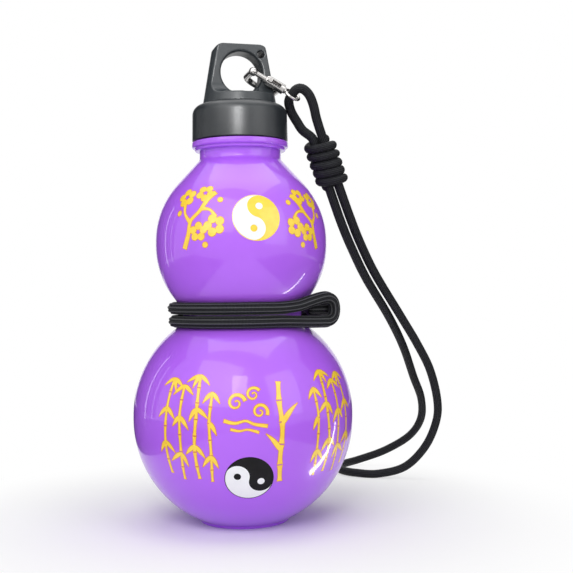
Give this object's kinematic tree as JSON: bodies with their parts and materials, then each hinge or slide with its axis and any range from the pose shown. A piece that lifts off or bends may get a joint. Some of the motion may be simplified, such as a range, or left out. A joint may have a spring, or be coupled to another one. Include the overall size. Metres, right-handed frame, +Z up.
{
  "type": "gourd water bottle",
  "caption": "Double-bulb gourd-shaped drinking bottle with a screw cap, a finger-hole carry handle, a snap hook with a knotted cord lanyard, and a cord round its waist.",
  "frame": {"origin": "centre of the foot's underside, on the surface the bottle stands on", "axes": "+Z up along the bottle's axis, +X to the side where the lanyard hangs, -Y towards the front with the upper ornament"},
  "size_m": [0.1672, 0.2016, 0.2364],
  "materials": {
    "bottle_plastic": "glossy violet blow-moulded plastic under a hard clear coat, with screen-printed ornaments",
    "cap_plastic": "satin charcoal moulded plastic with a fine even texture",
    "handle_plastic": "satin charcoal moulded plastic with polished rims",
    "liner_plastic": "smooth pale food-grade plastic",
    "silicone": "soft matt translucent white silicone",
    "hook_metal": "bright nickel plate on a die casting",
    "spring_steel": "drawn spring wire",
    "cord": "braided black polyester cord"
  },
  "bodies": {
    "bottle": {"lower_bulb": "bottle_plastic", "upper_bulb": "bottle_plastic", "threaded_mouth": "bottle_plastic", "waist_cord": "cord"},
    "seal": {"seal_ring": "silicone"},
    "cap": {"cap_shell": "cap_plastic", "cap_liner": "liner_plastic", "cap_handle": "handle_plastic", "hook_body": "hook_metal", "bolt_spring": "spring_steel", "lanyard_loop": "cord", "lanyard_knot": "cord", "lanyard_strands": "cord"},
    "bolt": {"hook_bolt": "hook_metal"},
    "eye": {"swivel_eye": "hook_metal"}
  },
  "joints": [
    {"name": "cap_rise", "type": "slide", "parent": "bottle", "child": "seal", "axis": [0, 0, 1], "range_m": [0, 0.0101]},
    {"name": "cap_turn", "type": "hinge", "parent": "seal", "child": "cap", "pos_m": [0, 0, 0.19], "axis": [0, 0, 1], "range_deg": [0, 900]},
    {"name": "hook_bolt_slide", "type": "slide", "parent": "cap", "child": "bolt", "axis": [0.8489, 0.2275, -0.4772], "range_m": [0, 0.0052], "stiffness_N_per_m": 250, "springref_m": -0.006, "deforming": ["bolt_spring"]},
    {"name": "swivel_turn", "type": "hinge", "parent": "cap", "child": "eye", "pos_m": [0.02626, -0.00249, 0.21136], "axis": [0.8489, 0.2275, -0.4772], "range_deg": [-10, 10]}
  ],
  "couplings": [
    {"joint": "cap_rise", "follows": "cap_turn", "m_per_rad": 0.00063662}
  ]
}
